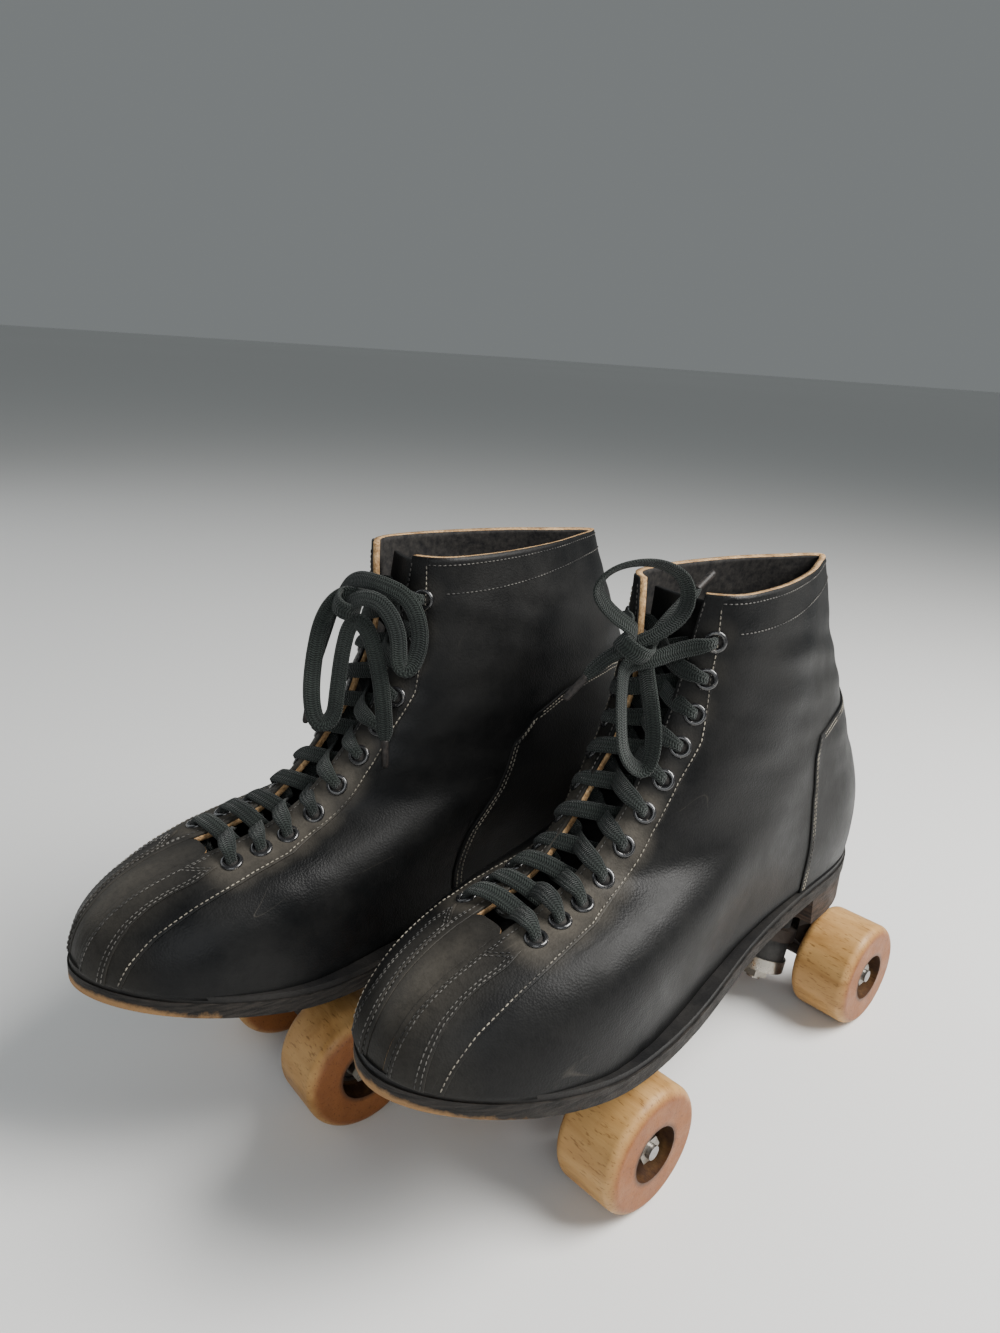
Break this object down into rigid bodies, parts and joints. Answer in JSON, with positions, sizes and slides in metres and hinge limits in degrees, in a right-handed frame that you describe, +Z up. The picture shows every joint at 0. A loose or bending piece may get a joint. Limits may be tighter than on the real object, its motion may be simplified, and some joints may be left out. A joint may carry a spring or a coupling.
{
  "type": "quad roller skates",
  "caption": "Pair of black leather lace-up quad roller skates on metal plates with sprung steering trucks and turned wooden wheels.",
  "frame": {"origin": "on the floor, in the middle of the pair's box", "axes": "+Z up, toes towards -Y, +X towards the wearer's left"},
  "size_m": [0.2219, 0.3872, 0.2681],
  "materials": {
    "leather": "fine grain, soft gloss, scuffed at toe and eyelets",
    "insole_leather": "smooth, worn",
    "sole_leather": "black edge dressing, worn brown at the toe",
    "heel_leather": "stacked lifts, black edge dressing",
    "eyelet_enamel": "black enamel, glossy",
    "cotton": "flat woven cotton, faded black-green",
    "aglet": "glossy",
    "nickel": "worn nickel plate",
    "steel": "bright zinc, slightly dull",
    "cast_metal": "nickel-plated casting, dulled brown",
    "rubber": "matt moulded rubber",
    "maple": "turned maple, clear finish, worn",
    "bearing_steel": "dark, oily"
  },
  "bodies": {
    "left_boot": {"left_upper": "leather", "left_heel_counter": "leather", "left_tongue": "leather", "left_insole": "insole_leather", "left_eyelets": "eyelet_enamel", "left_welt": "sole_leather", "left_outsole": "sole_leather", "left_heel_stack": "heel_leather", "left_lace": "cotton", "left_lace_aglets": "aglet", "left_sole_plate": "nickel", "left_plate_screws": "steel", "left_front_action_bolt": "nickel", "left_rear_action_bolt": "nickel", "left_front_cushions": "rubber", "left_rear_cushions": "rubber"},
    "left_front_truck": {"left_front_hanger": "cast_metal", "left_front_axle": "steel", "left_front_axle_nuts": "steel"},
    "left_front_lateral_wheel_unit": {"left_front_lateral_wheel": "maple", "left_front_lateral_bearing": "bearing_steel"},
    "left_front_medial_wheel_unit": {"left_front_medial_wheel": "maple", "left_front_medial_bearing": "bearing_steel"},
    "left_rear_truck": {"left_rear_hanger": "cast_metal", "left_rear_axle": "steel", "left_rear_axle_nuts": "steel"},
    "left_rear_lateral_wheel_unit": {"left_rear_lateral_wheel": "maple", "left_rear_lateral_bearing": "bearing_steel"},
    "left_rear_medial_wheel_unit": {"left_rear_medial_wheel": "maple", "left_rear_medial_bearing": "bearing_steel"},
    "right_boot": {"right_upper": "leather", "right_heel_counter": "leather", "right_tongue": "leather", "right_insole": "insole_leather", "right_eyelets": "eyelet_enamel", "right_welt": "sole_leather", "right_outsole": "sole_leather", "right_heel_stack": "heel_leather", "right_lace": "cotton", "right_lace_aglets": "aglet", "right_sole_plate": "nickel", "right_plate_screws": "steel", "right_front_action_bolt": "nickel", "right_rear_action_bolt": "nickel", "right_front_cushions": "rubber", "right_rear_cushions": "rubber"},
    "right_front_truck": {"right_front_hanger": "cast_metal", "right_front_axle": "steel", "right_front_axle_nuts": "steel"},
    "right_front_lateral_wheel_unit": {"right_front_lateral_wheel": "maple", "right_front_lateral_bearing": "bearing_steel"},
    "right_front_medial_wheel_unit": {"right_front_medial_wheel": "maple", "right_front_medial_bearing": "bearing_steel"},
    "right_rear_truck": {"right_rear_hanger": "cast_metal", "right_rear_axle": "steel", "right_rear_axle_nuts": "steel"},
    "right_rear_lateral_wheel_unit": {"right_rear_lateral_wheel": "maple", "right_rear_lateral_bearing": "bearing_steel"},
    "right_rear_medial_wheel_unit": {"right_rear_medial_wheel": "maple", "right_rear_medial_bearing": "bearing_steel"}
  },
  "joints": [
    {"name": "right_skate_lift", "type": "slide", "parent": "left_boot", "child": "right_boot", "axis": [0, 0, 1], "range_m": [0, 0.3]},
    {"name": "left_front_truck_steer", "type": "hinge", "parent": "left_boot", "child": "left_front_truck", "pos_m": [0.0577, -0.0101, 0.041], "axis": [0, -0.9563, 0.2924], "range_deg": [-6, 6], "stiffness_Nm_per_rad": 60, "deforming": ["left_front_cushions"]},
    {"name": "left_front_lateral_wheel_spin", "type": "hinge", "parent": "left_front_truck", "child": "left_front_lateral_wheel_unit", "pos_m": [0.095, -0.0281, 0.0285], "axis": [1, 0, 0], "continuous": true},
    {"name": "left_front_medial_wheel_spin", "type": "hinge", "parent": "left_front_truck", "child": "left_front_medial_wheel_unit", "pos_m": [0.0204, -0.0281, 0.0285], "axis": [1, 0, 0], "continuous": true},
    {"name": "left_rear_truck_steer", "type": "hinge", "parent": "left_boot", "child": "left_rear_truck", "pos_m": [0.0577, 0.1439, 0.041], "axis": [0, 0.9563, 0.2924], "range_deg": [-6, 6], "stiffness_Nm_per_rad": 60, "deforming": ["left_rear_cushions"]},
    {"name": "left_rear_lateral_wheel_spin", "type": "hinge", "parent": "left_rear_truck", "child": "left_rear_lateral_wheel_unit", "pos_m": [0.095, 0.1619, 0.0285], "axis": [1, 0, 0], "continuous": true},
    {"name": "left_rear_medial_wheel_spin", "type": "hinge", "parent": "left_rear_truck", "child": "left_rear_medial_wheel_unit", "pos_m": [0.0204, 0.1619, 0.0285], "axis": [1, 0, 0], "continuous": true},
    {"name": "right_front_truck_steer", "type": "hinge", "parent": "right_boot", "child": "right_front_truck", "pos_m": [-0.05381, -0.06773, 0.041], "axis": [-0.0933, -0.9517, 0.2924], "range_deg": [-6, 6], "stiffness_Nm_per_rad": 60, "deforming": ["right_front_cushions"]},
    {"name": "right_front_lateral_wheel_spin", "type": "hinge", "parent": "right_front_truck", "child": "right_front_lateral_wheel_unit", "pos_m": [-0.09269, -0.08201, 0.0285], "axis": [-0.9952, 0.0976, 0], "continuous": true},
    {"name": "right_front_medial_wheel_spin", "type": "hinge", "parent": "right_front_truck", "child": "right_front_medial_wheel_unit", "pos_m": [-0.01845, -0.08929, 0.0285], "axis": [-0.9952, 0.0976, 0], "continuous": true},
    {"name": "right_rear_truck_steer", "type": "hinge", "parent": "right_boot", "child": "right_rear_truck", "pos_m": [-0.03879, 0.08553, 0.041], "axis": [0.0933, 0.9517, 0.2924], "range_deg": [-6, 6], "stiffness_Nm_per_rad": 60, "deforming": ["right_rear_cushions"]},
    {"name": "right_rear_lateral_wheel_spin", "type": "hinge", "parent": "right_rear_truck", "child": "right_rear_lateral_wheel_unit", "pos_m": [-0.07415, 0.10709, 0.0285], "axis": [-0.9952, 0.0976, 0], "continuous": true},
    {"name": "right_rear_medial_wheel_spin", "type": "hinge", "parent": "right_rear_truck", "child": "right_rear_medial_wheel_unit", "pos_m": [0.00009, 0.09981, 0.0285], "axis": [-0.9952, 0.0976, 0], "continuous": true}
  ]
}
